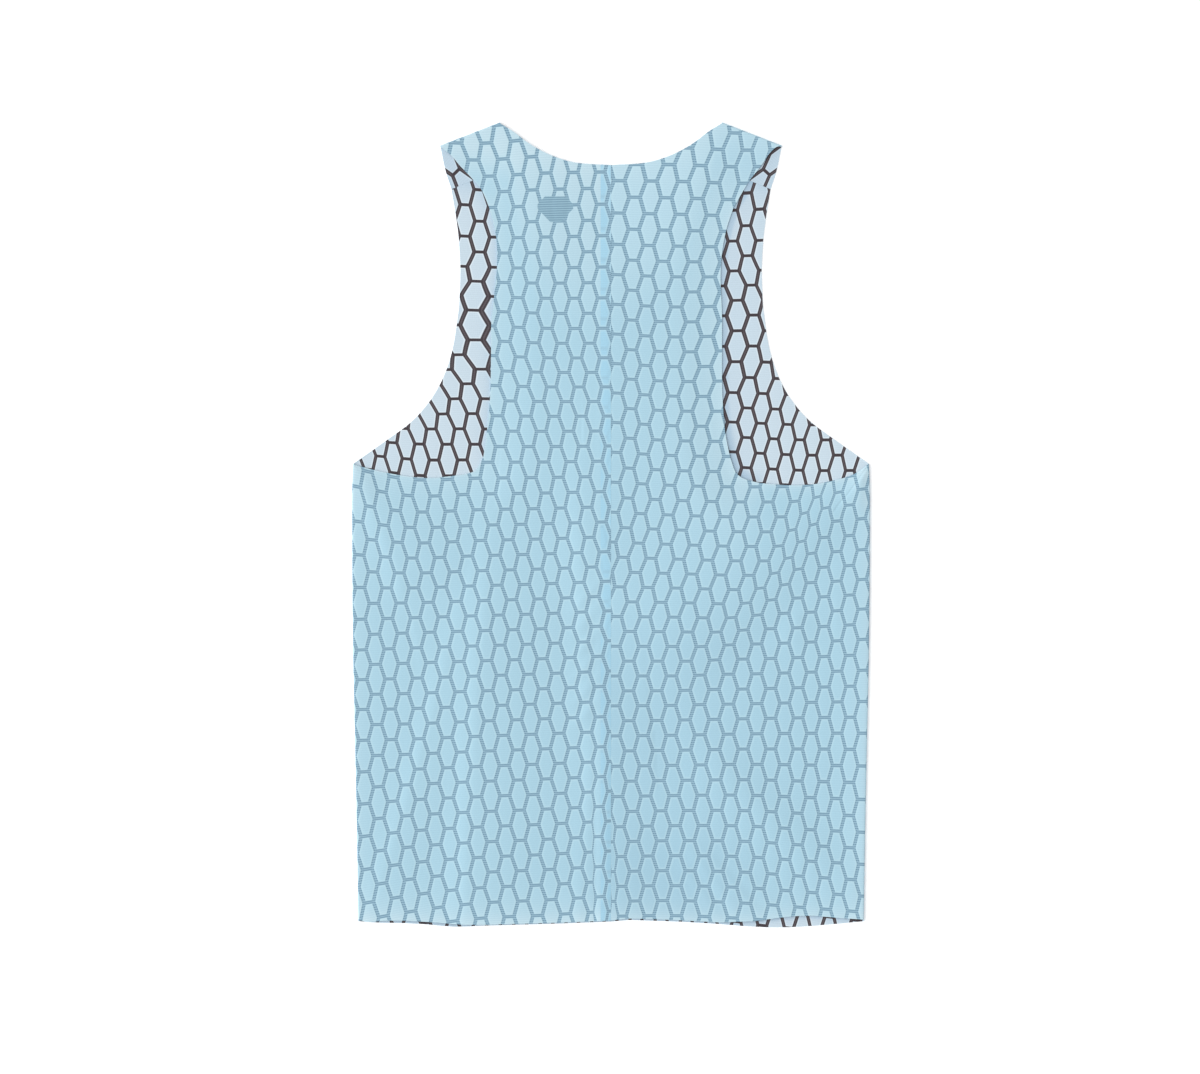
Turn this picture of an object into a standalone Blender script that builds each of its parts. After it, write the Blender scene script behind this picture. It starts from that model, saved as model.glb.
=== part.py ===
"""A running singlet laid flat with its back up: one front panel below, two back halves on it.

Each cut piece is an open surface through rows of points, made a wall with Solidify. Lengths in the
tables are millimetres. Across is measured from the centre line, and up from the middle of the
garment's length, towards the neck. The cloth lies on z = 0.
"""

import math
from functools import partial

import bpy
from mathutils import Vector

NAME = "running_singlet"
MM = 0.001

# Cloth and how its two layers lie
WALL = 1.0                  # thickness of the cloth
LAYER_GAP = 0.8             # air between the two layers where no fold lifts the upper one
SEAM_GAP = 0.3              # between two pieces at a seam
FRONT_CORNER_TURN = 0.3     # of the side fold's turn that the front keeps at the armhole's corner
FOLD_RADIUS = (WALL + LAYER_GAP) / 2        # of the middle of the wall, at sides and shoulders
FOLD_REACH = FOLD_RADIUS + WALL / 2         # how far a fold stands out past the flat cloth
LOWER_LEVEL = WALL / 2
UPPER_LEVEL = LOWER_LEVEL + 2 * FOLD_RADIUS

EDGE_STRAIGHT = 0.2         # upright stretch that ends a side's turn, at the side seam
EDGE_RADIUS = FOLD_RADIUS - SEAM_GAP / 2 - EDGE_STRAIGHT
EDGE_REACH = EDGE_RADIUS + WALL / 2

# Rows and columns of the pieces
COLUMNS = 18
FRONT_COLUMNS = 10
TURN_STEPS = 4              # steps round a quarter turn at a side fold
ROLL_STEPS = 8              # steps round the half turn over a shoulder
LAP_ROWS = 3                # from the shoulder fold to the forward seam
CURVE_STEPS = 10            # points worked out between two points of a table
FOLD_STEPS = 24             # points tried along a fold to find its nearest one

# Shoulder: the strap folds over this line, from the outer tip to the neck point
TIP = Vector((153.9, 341.5))
NECK_POINT = Vector((100.0, 362.5))

# Outline of the folded garment, from the hem up: across, up
SIDE = [(227.6, -356.0), (228.6, -285.3), (230.4, -195.3), (232.0, -123.3), (232.8, -51.3),
        (233.0, 0.0), (233.0, 30.0), (232.2, 55.0)]
FRONT_ARMHOLE_LOW = [(232.2, 55.0), (204.3, 74.7), (180.0, 92.7), (163.8, 110.7), (153.0, 128.7),
                     (145.8, 146.7), (141.3, 164.7), (138.6, 182.7), (136.8, 196.0)]
FRONT_ARMHOLE_TOP = [(136.8, 196.0), (135.6, 227.7), (137.0, 256.0), (139.5, 277.0),
                     (143.6, 302.4)]
LAP_ARMHOLE = [(143.6, 302.4), (149.3, 320.0), (153.9, 341.5)]
FRONT_NECK = [(0.0, 192.0), (32.0, 196.0), (64.0, 216.0), (82.0, 250.0), (89.0, 285.0),
              (93.5, 323.0)]
LAP_NECK = [(93.5, 323.0), (96.5, 342.0), (100.0, 362.5)]
BACK_NECK = [(0.0, 324.0), (27.9, 325.7), (44.0, 329.2), (60.3, 335.7), (75.6, 344.7),
             (87.3, 353.7), (100.0, 362.5)]

# Armhole edges of the two back halves, which do not lie quite alike: across, up
ARMHOLE_LOW = {
    "left": [(232.2, 55.0), (213.3, 49.5), (190.8, 45.0), (166.5, 42.3), (140.4, 44.5),
             (125.1, 47.5), (118.7, 53.3), (114.8, 62.0)],
    "right": [(232.2, 55.0), (218.2, 45.5), (199.8, 40.0), (180.0, 36.5), (155.7, 36.0),
              (128.2, 39.1), (113.4, 46.0), (107.1, 61.2)],
}
ARMHOLE_MID = {
    "left": [(114.8, 62.0), (111.6, 85.5), (108.9, 114.3), (108.0, 153.0), (107.8, 180.0),
             (105.3, 205.2), (102.6, 233.1), (103.5, 260.1), (109.8, 286.2)],
    "right": [(107.1, 61.2), (102.9, 82.8), (100.8, 107.1), (99.9, 132.3), (99.9, 188.1),
              (98.7, 216.9), (99.5, 241.2), (103.5, 264.6), (109.8, 284.5)],
}
ARMHOLE_TOP = {
    "left": [(109.8, 286.2), (116.5, 301.5), (124.2, 311.0), (138.0, 325.5), (153.9, 341.5)],
    "right": [(109.8, 284.5), (118.8, 300.5), (125.5, 311.2), (133.3, 320.9), (137.0, 326.3),
              (142.3, 334.0), (147.5, 338.6), (153.9, 341.5)],
}

# Hems, from the left side to the right side: across, up
BACK_HEM = [(-227.6, -354.5), (-209.7, -356.4), (-150.3, -358.2), (-117.9, -359.6),
            (-46.8, -357.7), (0.0, -355.8), (16.2, -354.1), (33.3, -354.6), (62.1, -355.8),
            (98.1, -357.8), (129.6, -356.7), (151.2, -353.7), (166.5, -352.2), (182.7, -351.9),
            (201.6, -353.7), (227.6, -355.5)]
FRONT_HEM = [(-227.6, -356.6), (-187.2, -358.2), (-162.0, -360.2), (-135.0, -361.4),
             (-117.9, -360.6), (-46.8, -358.8), (0.0, -357.0), (16.2, -355.6), (62.1, -357.2),
             (98.1, -359.4), (116.1, -361.0), (140.4, -362.4), (159.3, -362.4), (178.2, -361.4),
             (200.7, -359.5), (227.6, -357.0)]

# Folds of the back, from their lower end to their upper one. Each is a soft ridge, or a trough where
# its lift is less than nothing. Half widths are those of its left and its right flank.
FOLDS = [
    {"path": ((-127, -372), (-130, -290), (-104, 9)), "lift": 1.8, "left": 15, "right": 62},
    {"path": ((-218, -360), (-168, -216), (-134, -71)), "lift": 0.9, "left": 9, "right": 32},
    {"path": ((-183, -69), (-188, -37), (-224, 46)), "lift": 1.2, "left": 12, "right": 60},
    {"path": ((-12, -262), (-22, -80), (-25, 62)), "lift": 1.0, "left": 13, "right": 34},
    {"path": ((-20, -372), (-6, -252), (-6, -120)), "lift": 0.9, "left": 8, "right": 28},
    {"path": ((33, -372), (50, -322), (20, -208)), "lift": -0.9, "left": 24, "right": 80},
    {"path": ((226, -335), (125, -255), (80, -196)), "lift": 1.1, "left": 22, "right": 19},
    {"path": ((200, -372), (201, -262), (200, -110)), "lift": -0.6, "left": 50, "right": 18},
]
FOLD_START = 0.25           # share of its lift that a fold has at its start
FOLD_END = 0.4              # and at its end
FOLD_TAPER = 3.0            # how fast it grows from there, over its whole length

# The belly of the right half: it stands off, then dives into a crease along its path, on its right
BELLY = {"path": ((46, -194), (118, -138), (226, -2)), "lift": 5.4, "dive": 56, "fade": 130}
BELLY_GROWTH = 0.45         # share of its crease over which it grows

SAG = 0.9                   # how far the loose middle of each half stands off the front
SAG_EDGE = 150              # over how much of its edge that fades away
FLAT_EDGE = 16              # no fold within this of an outer edge
FLAT_SHOULDER = 40          # no fold within this of a shoulder
LOWEST_LIFT = -0.45         # keeps a gap between the layers in a trough
CORNER_STAND = 30           # how far from a side fold the back's armhole edge comes to lie
ARMHOLE_LIE = 42            # how far in from the armhole's edge the back still lies close
NECK_CLEAR = 4              # from the front's neck edge to where the back starts to sink
NECK_LIE = 70               # how far into the front's neck opening it has sunk to the surface
IN_NECK_LEVEL = 0.65        # middle of the back's wall there


def smooth_step(value):
    """0 below 0, 1 above 1, with no corner between."""
    value = min(max(value, 0.0), 1.0)
    return value * value * (3 - 2 * value)


def curve_through(table):
    """Many points of a smooth curve through a table's points."""
    points = [Vector(point) for point in table]
    points = [2 * points[0] - points[1], *points, 2 * points[-1] - points[-2]]
    curve = []
    for before, start, end, after in zip(points, points[1:], points[2:], points[3:]):
        for step in range(CURVE_STEPS):
            t = step / CURVE_STEPS
            bend = (2 * start + (end - before) * t
                    + (2 * before - 5 * start + 4 * end - after) * t ** 2
                    + (3 * start - before - 3 * end + after) * t ** 3)
            curve.append(bend / 2)
    curve.append(points[-2])
    return curve


def evenly(table, steps):
    """steps + 1 points at equal distances along the curve through a table."""
    curve = curve_through(table)
    lengths = [0.0]
    for start, end in zip(curve, curve[1:]):
        lengths.append(lengths[-1] + (end - start).length)
    points, at = [], 0
    for step in range(steps + 1):
        wanted = lengths[-1] * step / steps
        while at < len(curve) - 2 and lengths[at + 1] < wanted:
            at += 1
        span = lengths[at + 1] - lengths[at]
        points.append(curve[at].lerp(curve[at + 1], (wanted - lengths[at]) / span))
    return points


def up_at(table, across):
    """Height of a hem at a place across, by straight steps between its points."""
    for (left, low), (right, high) in zip(table, table[1:]):
        if across <= right:
            share = max(across - left, 0.0) / (right - left)
            return low + (high - low) * share
    return table[-1][1]


def side_at(up):
    """Half width of the folded garment at a height."""
    return up_at([(height, across) for across, height in SIDE], up)


def beside_path(place, path):
    """Distance of a place from a curved path, more than 0 on its right, and its share along it."""
    start, bend, end = (Vector(point) for point in path)
    nearest, signed, share = math.inf, 0.0, 0.0
    before = start
    for step in range(1, FOLD_STEPS + 1):
        t = step / FOLD_STEPS
        point = start.lerp(bend, t).lerp(bend.lerp(end, t), t)
        distance = (place - point).length
        if distance < nearest:
            along, offset = point - before, place - point
            right = offset.x * along.y - offset.y * along.x
            nearest, signed, share = distance, math.copysign(distance, right), t
        before = point
    return signed, share


def tapered(share):
    """A fold's own share of its lift along it, less at its two ends."""
    return min(1.0, FOLD_START + FOLD_TAPER * share, FOLD_END + FOLD_TAPER * (1 - share))


def ridge_lift(place, fold):
    signed, share = beside_path(place, fold["path"])
    width = fold["left"] if signed < 0 else fold["right"]
    return fold["lift"] * tapered(share) * math.exp(-(signed / width) ** 2)


def belly_lift(place, belly):
    signed, share = beside_path(place, belly["path"])
    off = max(-signed, 0.0)
    dive = 1 - math.exp(-(off / belly["dive"]) ** 1.5)
    fade = math.exp(-(off / belly["fade"]) ** 2)
    return belly["lift"] * smooth_step(share / BELLY_GROWTH) * dive * fade


def distance_to(place, curve):
    return min((place - point).length for point in curve)


def back_level(place, which):
    """Middle of the back's wall: how it lies on the front and in its neck opening, and its folds."""
    mirrored = Vector((abs(place.x), place.y))
    to_armhole = distance_to(mirrored, ARMHOLE[which])
    side = side_at(place.y) - mirrored.x
    edge = min(side, to_armhole)
    off_shoulder = smooth_step(-(mirrored - NECK_POINT).dot(SHOULDER_OUT) / FLAT_SHOULDER)

    lift = SAG * smooth_step(edge / SAG_EDGE) + belly_lift(place, BELLY)
    lift = lift + sum(ridge_lift(place, fold) for fold in FOLDS)
    lift = max(lift * smooth_step(edge / FLAT_EDGE), LOWEST_LIFT)

    close = (1 - smooth_step(to_armhole / ARMHOLE_LIE)) * smooth_step(side / CORNER_STAND)
    neck_across = up_at([(height, across) for across, height in FRONT_NECK + LAP_NECK[1:]], place.y)
    sunk = 0.0
    if place.y > FRONT_NECK[0][1] and mirrored.x < neck_across:
        sunk = smooth_step((distance_to(mirrored, NECKLINE) - NECK_CLEAR) / NECK_LIE)
    level = UPPER_LEVEL + LOWEST_LIFT * close * off_shoulder
    level += (IN_NECK_LEVEL - level) * sunk * off_shoulder
    return level + lift * (1 - sunk) * (1 - close) * off_shoulder


def front_level(_place):
    return LOWER_LEVEL


def turned_edge(place, along, level, turn, down):
    """Points past the last flat one: a quarter turn towards the other layer, then straight on."""
    step_angle = turn * math.pi / 2 / TURN_STEPS
    step_length = EDGE_RADIUS * math.pi / 2 / TURN_STEPS
    out = drop = angle = 0.0
    points = []
    for step in range(TURN_STEPS + 1):
        if step < TURN_STEPS:
            angle = step_angle * (step + 0.5)
            length = step_length
        else:
            angle = step_angle * TURN_STEPS
            length = EDGE_STRAIGHT
        out += length * math.cos(angle)
        drop += length * math.sin(angle)
        flat = place + along * out
        points.append(Vector((flat.x, flat.y, level - drop if down else level + drop)))
    return points


def row_points(inner, outer, outward, columns, level_of, turn, down, bow):
    """One row from the inner edge to the outer edge, with the side fold's turn at its end.

    It bows down towards its inner edge by the power bow, which is 1 for a straight row, and leaves
    the outer edge along outward.
    """
    last_flat = outer - outward * EDGE_REACH
    points = []
    for column in range(columns + 1):
        share = column / columns
        place = Vector((inner.x + (last_flat.x - inner.x) * share,
                        inner.y + (last_flat.y - inner.y) * share ** bow))
        points.append(Vector((place.x, place.y, level_of(place))))
    points += turned_edge(last_flat, outward, points[-1].z, turn, down)
    return points


def square_to(edge, step, side):
    """Direction away from the cloth, square to its outer edge at one of the edge's points."""
    along = edge[min(step + 1, len(edge) - 1)] - edge[step - 1]
    return Vector((along.y * side, -along.x)).normalized()


def turn_of(stretch, step, steps, corner_turn):
    """How much of the side fold's turn a row has: all of it up to the armhole's corner."""
    if stretch == 0:
        return 1.0 - (1.0 - corner_turn) * smooth_step(1 - (steps - step) / 2)
    return corner_turn * smooth_step(1 - step / 2) if stretch == 1 else 0.0


def drop_to_hem(row, hem, share):
    """Moves a row's points by their share of the hem's own waves."""
    inner_x, outer_x = row[0].x, row[-1].x
    inner_up, outer_up = up_at(hem, inner_x), up_at(hem, outer_x)
    for point in row:
        part = (point.x - inner_x) / (outer_x - inner_x)
        straight = inner_up + (outer_up - inner_up) * part
        point.y += (up_at(hem, point.x) - straight) * share


def panel_rows(stretches, hem, side, columns, level_of, down, corner_turn):
    """Rows of one half, from the hem up. side is -1 for the left half and 1 for the right.

    A stretch is its inner and outer edges, its number of rows, and the bow of its first and last row.
    """
    rows = []
    for number, (inner_table, outer_table, steps, bow) in enumerate(stretches):
        inner, outer = evenly(inner_table, steps), evenly(outer_table, steps)
        for step in range(0 if number == 0 else 1, steps + 1):
            start = Vector((inner[step].x * side, inner[step].y))
            end = Vector((outer[step].x * side, outer[step].y))
            outward = square_to(outer, step, side) if number == 1 else (end - start).normalized()
            turn = turn_of(number, step, steps, corner_turn)
            power = bow[0] + (bow[1] - bow[0]) * step / steps
            row = row_points(start, end, outward, columns, level_of, turn, down, power)
            if number == 0:
                drop_to_hem(row, hem, (1 - step / steps) ** 2)
            rows.append(row)
    return rows


def shoulder_rows(last_row, side, columns):
    """Rows that carry a strap over the shoulder and down to its forward seam."""
    outward = Vector((SHOULDER_OUT.x * side, SHOULDER_OUT.y))
    rows = []
    for step in range(1, ROLL_STEPS + 1):
        angle = math.pi * step / ROLL_STEPS
        out = FOLD_RADIUS * math.sin(angle)
        level = LOWER_LEVEL + FOLD_RADIUS * (1 + math.cos(angle))
        rows.append([Vector((point.x + outward.x * out, point.y + outward.y * out, level))
                     for point in last_row])
    inner = evenly(LAP_NECK[::-1], LAP_ROWS)
    outer = evenly(LAP_ARMHOLE[::-1], LAP_ROWS)
    drawn_in = -outward * FOLD_REACH
    seam_back = outward * SEAM_GAP / 2
    count = len(last_row) - 1
    for step in range(1, LAP_ROWS + 1):
        share = step / LAP_ROWS
        shift = drawn_in * (1 - share) + seam_back * share
        start = Vector((inner[step].x * side, inner[step].y)) + shift
        end = Vector((outer[step].x * side, outer[step].y)) + shift
        rows.append([start.lerp(end, spread_of(last_row, place)).to_3d()
                     + Vector((0, 0, LOWER_LEVEL)) for place in range(count + 1)])
    return rows


def spread_of(row, place):
    """Share of a row's length at one of its points."""
    whole = (row[-1] - row[0]).to_2d().length
    return (row[place] - row[0]).to_2d().length / whole


def cloth_material(name, colour):
    material = bpy.data.materials.new(name)
    material.use_nodes = True
    shader = material.node_tree.nodes["Principled BSDF"]
    shader.inputs["Base Color"].default_value = (*colour, 1.0)
    shader.inputs["Roughness"].default_value = 0.85
    shader.inputs["Metallic"].default_value = 0.0
    return material


def sheet_mesh(name, halves):
    """An open surface through the rows of each half, welded where the halves meet."""
    points, faces = [], []
    for rows, side in halves:
        first = len(points)
        width = len(rows[0])
        points += [point * MM for row in rows for point in row]
        for row in range(len(rows) - 1):
            for column in range(width - 1):
                corner = first + row * width + column
                face = (corner, corner + 1, corner + width + 1, corner + width)
                faces.append(face if side > 0 else face[::-1])
    mesh = bpy.data.meshes.new(name)
    mesh.from_pydata(points, [], faces)
    mesh.update()
    return mesh


def sewn_piece(name, halves, material, collection):
    """A named object whose wall is Solidify on the open surface."""
    piece = bpy.data.objects.new(name, sheet_mesh(name, halves))
    collection.objects.link(piece)
    piece.data.materials.append(material)
    piece.data.shade_smooth()
    piece.data.set_sharp_from_angle(angle=math.radians(50))
    if len(halves) > 1:
        weld = piece.modifiers.new("join at the centre", "WELD")
        weld.merge_threshold = 0.00001
    wall = piece.modifiers.new("cloth wall", "SOLIDIFY")
    wall.thickness = WALL * MM
    wall.offset = 0.0
    return piece


SHOULDER_ALONG = (NECK_POINT - TIP).normalized()
SHOULDER_OUT = Vector((SHOULDER_ALONG.y, -SHOULDER_ALONG.x))
NECKLINE = curve_through(FRONT_NECK + LAP_NECK[1:])
ARMHOLE = {which: curve_through(ARMHOLE_LOW[which] + ARMHOLE_MID[which][1:] + ARMHOLE_TOP[which][1:])
           for which in ("left", "right")}


def side_from(hem):
    """The side edge from a hem's own end up to the armhole."""
    across = SIDE[0][0]
    return [(across, (up_at(hem, across) + up_at(hem, -across)) / 2), *SIDE[1:]]


def front_halves():
    """Left and right rows of the front panel, which share their centre points."""
    seam_shift = SHOULDER_OUT * (SEAM_GAP / 2)
    neck = FRONT_NECK[:-1] + [tuple(Vector(FRONT_NECK[-1]) - seam_shift)]
    armhole = FRONT_ARMHOLE_TOP[:-1] + [tuple(Vector(FRONT_ARMHOLE_TOP[-1]) - seam_shift)]
    stretches = [
        ([(0.0, up_at(FRONT_HEM, 0.0)), (0.0, 55.0)], side_from(FRONT_HEM), 14, (1, 1)),
        ([(0.0, 55.0), (0.0, 192.0)], FRONT_ARMHOLE_LOW, 12, (1, 1)),
        (neck, armhole, 10, (1, 1)),
    ]
    return [(panel_rows(stretches, FRONT_HEM, side, FRONT_COLUMNS, front_level, False,
                        FRONT_CORNER_TURN), side)
            for side in (-1, 1)]


def back_half(which):
    """Rows of one back half, from its hem over its shoulder to the forward seam."""
    side = -1 if which == "left" else 1
    seam = SEAM_GAP / 2
    inset = SHOULDER_OUT * FOLD_REACH
    neck = [(seam, BACK_NECK[0][1])] + BACK_NECK[1:-1] + [tuple(NECK_POINT - inset)]
    top = ARMHOLE_TOP[which][:-1] + [tuple(TIP - inset)]
    stretches = [
        ([(seam, up_at(BACK_HEM, 0.0)), (seam, -40.0)], side_from(BACK_HEM), 22, (1, 4)),
        ([(seam, -40.0), (seam, 30.0)], ARMHOLE_LOW[which], 12, (4, 1.6)),
        ([(seam, 30.0), (seam, 324.0)], ARMHOLE_MID[which], 18, (1.6, 1)),
        (neck, top, 8, (1, 1)),
    ]
    rows = panel_rows(stretches, BACK_HEM, side, COLUMNS, partial(back_level, which=which), True,
                      1.0)
    return [(rows + shoulder_rows(rows[-1], side, COLUMNS), side)]


def build():
    for old in list(bpy.data.objects):
        bpy.data.objects.remove(old)
    collection = bpy.data.collections.new(NAME)
    bpy.context.scene.collection.children.link(collection)
    inner = cloth_material("inner side of the net cloth", (0.60, 0.71, 0.80))
    outer = cloth_material("outer side of the net cloth", (0.43, 0.65, 0.77))
    sewn_piece("front_panel", front_halves(), inner, collection)
    sewn_piece("back_left", back_half("left"), outer, collection)
    sewn_piece("back_right", back_half("right"), outer, collection)


build()
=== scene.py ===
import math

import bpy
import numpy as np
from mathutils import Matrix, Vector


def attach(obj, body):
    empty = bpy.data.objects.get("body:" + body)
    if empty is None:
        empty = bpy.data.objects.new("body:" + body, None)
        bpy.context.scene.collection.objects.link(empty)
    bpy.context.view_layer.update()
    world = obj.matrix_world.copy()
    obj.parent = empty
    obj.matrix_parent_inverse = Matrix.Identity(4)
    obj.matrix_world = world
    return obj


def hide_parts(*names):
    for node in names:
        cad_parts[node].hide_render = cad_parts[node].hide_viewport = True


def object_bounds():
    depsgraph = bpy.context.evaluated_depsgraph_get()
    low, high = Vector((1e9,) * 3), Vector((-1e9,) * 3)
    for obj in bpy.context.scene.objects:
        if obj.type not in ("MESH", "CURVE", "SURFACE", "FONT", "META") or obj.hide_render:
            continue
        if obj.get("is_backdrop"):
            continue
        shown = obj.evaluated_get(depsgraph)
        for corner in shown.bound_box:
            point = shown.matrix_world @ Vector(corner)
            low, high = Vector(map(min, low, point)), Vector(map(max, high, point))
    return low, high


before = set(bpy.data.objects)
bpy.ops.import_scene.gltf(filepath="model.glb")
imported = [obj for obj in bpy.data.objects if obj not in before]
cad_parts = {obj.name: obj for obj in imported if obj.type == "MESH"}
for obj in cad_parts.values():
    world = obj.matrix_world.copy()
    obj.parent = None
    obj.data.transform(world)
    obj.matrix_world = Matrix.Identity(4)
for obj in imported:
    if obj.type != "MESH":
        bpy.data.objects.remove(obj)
cad_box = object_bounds()

# A running singlet laid flat with its back up: a front panel below, and two back halves on it whose
# straps run over the shoulders to a forward seam. Each cut piece is a thin shell of knit whose outer
# side is light blue with a blue-grey hexagon net, and whose inner side is pale with a near-black net.
#
# Lengths in the tables are millimetres. Across is measured from the centre line to the right, and up
# from the middle of the garment's length towards the neck. The net is counted in columns and rows: a
# cell of an even column has its middle between two row numbers, one of an odd column has it on one.

MM = 0.001

# The cloth and how its two layers lie
WALL = 0.6
ON_FLOOR = 0.04                     # of the front's outer side above the surface below
LOWER_LEVEL = ON_FLOOR + WALL / 2   # middle of the front's wall
EDGE_LEVEL = {"left": 1.2, "right": 1.25}   # middle of the back's wall at its two armhole edges
CORNER_RISE = {"left": 0.0, "right": 0.5}   # and how much higher at the foot of the armhole
CORNER = {"across": 112.0, "up": 50.0, "reach": 48.0}       # that foot, and how far the rise goes
IN_NECK_LEVEL = 1.1                 # and where it lies in the front's neck opening
UPPER_LEVEL = 2.3                   # middle of the back's wall where nothing lifts it
SEAM_GAP = 0.06                     # between two pieces at a seam
FOLD_RADIUS = (UPPER_LEVEL - LOWER_LEVEL) / 2
FOLD_REACH = FOLD_RADIUS + WALL / 2
EDGE_STRAIGHT = 0.2                 # upright stretch that ends a side's turn, at the side seam
EDGE_RADIUS = FOLD_RADIUS - EDGE_STRAIGHT - SEAM_GAP / 2
FRONT_CORNER_TURN = 0.3             # of the side fold's turn that the front keeps at the armhole

# How finely the pieces are made
BACK_COLUMNS = 108
FRONT_COLUMNS = 74
TURN_STEPS = 4
ROLL_STEPS = 10
LAP_ROWS = 18
FAN = (-40.0, 30.0)                 # heights on the centre seam between which rows fan out
CURVE_STEPS = 12                    # points worked out between two points of a table
PATH_STEPS = 24                     # stretches along a fold
WELD_REACH = 0.001                  # within which the two halves of the front join
SHARP_ANGLE = 50                    # degrees between faces that meet in a sharp edge

# Outline of the folded garment, from the hem up: across, up
TIP = np.array((153.9, 341.5))
NECK_POINT = np.array((100.0, 362.5))
SIDE = [(227.6, -356.0), (228.6, -285.3), (230.4, -195.3), (232.0, -123.3), (232.8, -51.3),
        (233.0, 0.0), (233.0, 30.0), (232.2, 55.0)]
FRONT_ARMHOLE_LOW = [(232.2, 55.0), (204.3, 74.7), (180.0, 92.7), (163.8, 110.7), (153.0, 128.7),
                     (145.8, 146.7), (141.3, 164.7), (138.6, 182.7), (136.8, 196.0)]
FRONT_ARMHOLE_TOP = [(136.8, 196.0), (135.6, 227.7), (137.0, 256.0), (139.5, 277.0),
                     (143.6, 302.4)]
LAP_ARMHOLE = [(143.6, 302.4), (149.3, 320.0), (153.9, 341.5)]
FRONT_NECK = [(0.0, 192.0), (32.0, 196.0), (64.0, 216.0), (82.0, 250.0), (89.0, 285.0),
              (93.5, 323.0)]
LAP_NECK = [(93.5, 323.0), (96.5, 342.0), (100.0, 362.5)]
BACK_NECK = [(0.0, 324.0), (27.9, 325.7), (44.0, 329.2), (60.3, 335.7), (75.6, 344.7),
             (87.3, 353.7), (100.0, 362.5)]

# Armhole edges of the two back halves, which do not lie quite alike: across, up
ARMHOLE_LOW = {
    "left": [(232.2, 55.0), (213.3, 49.5), (190.8, 45.0), (166.5, 42.3), (140.4, 44.5),
             (125.1, 47.5), (118.7, 53.3), (114.8, 62.0)],
    "right": [(232.2, 55.0), (218.2, 45.5), (199.8, 40.0), (180.0, 36.5), (155.7, 36.0),
              (128.2, 39.1), (113.4, 46.0), (107.1, 61.2)],
}
ARMHOLE_MID = {
    "left": [(114.8, 62.0), (111.6, 85.5), (108.9, 114.3), (108.0, 153.0), (107.8, 180.0),
             (105.3, 205.2), (102.6, 233.1), (103.5, 260.1), (109.8, 286.2)],
    "right": [(107.1, 61.2), (102.9, 82.8), (100.8, 107.1), (99.9, 132.3), (99.9, 188.1),
              (98.7, 216.9), (99.5, 241.2), (103.5, 264.6), (109.8, 284.5)],
}
ARMHOLE_TOP = {
    "left": [(109.8, 286.2), (116.5, 301.5), (124.2, 311.0), (136.7, 324.2), (143.6, 332.4),
             (153.9, 341.5)],
    "right": [(109.8, 284.5), (118.8, 300.5), (125.5, 311.2), (133.3, 320.9), (137.0, 326.3),
              (142.3, 334.0), (147.0, 338.8), (150.0, 340.6), (153.9, 341.5)],
}

# Hems, from the left side to the right side: across, up
BACK_HEM = [(-227.6, -354.8), (-221.0, -356.8), (-212.0, -356.7), (-204.0, -355.9),
            (-187.0, -355.8), (-173.7, -356.5), (-156.6, -357.6), (-142.0, -358.9),
            (-130.0, -359.5), (-117.9, -359.6), (-46.8, -357.7), (0.0, -355.8), (16.2, -354.1),
            (33.3, -354.6), (62.1, -355.8), (98.1, -357.8), (129.6, -356.7), (151.2, -353.7),
            (166.5, -352.2), (182.7, -351.9), (201.6, -353.7), (227.6, -355.5)]
FRONT_HEM = [(-227.6, -356.6), (-208.0, -357.9), (-187.2, -358.3), (-170.0, -359.1),
             (-156.6, -360.4), (-142.0, -361.6), (-130.0, -361.4), (-117.9, -360.7),
             (-46.8, -358.8), (0.0, -357.0), (16.2, -355.6), (62.1, -357.2), (98.1, -359.4),
             (116.1, -361.0), (140.4, -362.4), (159.3, -362.4), (178.2, -361.4),
             (200.7, -359.5), (227.6, -357.0)]

# Folds of the back, from their lower end to their upper one. Each is a soft ridge, or a trough where
# its lift is less than 0. Left and right are the half widths of its two flanks.
FOLDS = [
    {"path": ((-127, -372), (-130, -290), (-104, 9)), "lift": 1.8, "left": 15, "right": 62},
    {"path": ((-218, -360), (-168, -216), (-134, -71)), "lift": 0.9, "left": 9, "right": 32},
    {"path": ((-183, -69), (-188, -37), (-224, 46)), "lift": 1.2, "left": 12, "right": 60},
    {"path": ((-12, -262), (-22, -80), (-25, 62)), "lift": 1.0, "left": 13, "right": 34},
    {"path": ((-27, -372), (-18, -262), (-14, -190)), "lift": 0.5, "left": 8, "right": 26},
    {"path": ((40, -372), (52, -330), (44, -258)), "lift": -1.2, "left": 32, "right": 110},
    {"path": ((226, -335), (125, -255), (80, -196)), "lift": 1.1, "left": 22, "right": 19},
    {"path": ((128, -352), (96, -312), (70, -286)), "lift": 0.5, "left": 8, "right": 8},
    {"path": ((200, -372), (201, -262), (200, -110)), "lift": -0.6, "left": 50, "right": 18},
    {"path": ((160, -112), (164, -96), (170, -80)), "lift": 0.6, "left": 8, "right": 14},
]

# Bellies: the cloth stands off, then dives into a crease that lies along the path, on its right
BELLIES = [
    {"path": ((46, -194), (118, -138), (226, -2)), "lift": 6.0, "dive": 66, "fade": 122},
]

# Small slanting wrinkles beside the seam of the left half, and at the hem of the right one
WRINKLES = [
    {"path": ((-36, -78 - 21 * number), (-24, -66 - 21 * number), (-10, -50 - 21 * number)),
     "lift": 0.4, "left": 4, "right": 5} for number in range(6)
] + [
    {"path": ((96 + 19 * number, -352), (76 + 17 * number, -322), (58 + 15 * number, -298)),
     "lift": 0.28, "left": 4.5, "right": 4.5} for number in range(4)
]
SAG = 0.9                   # how far the loose middle of each half stands off the front
SAG_EDGE = 150              # over how much of its edge that fades away
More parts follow.
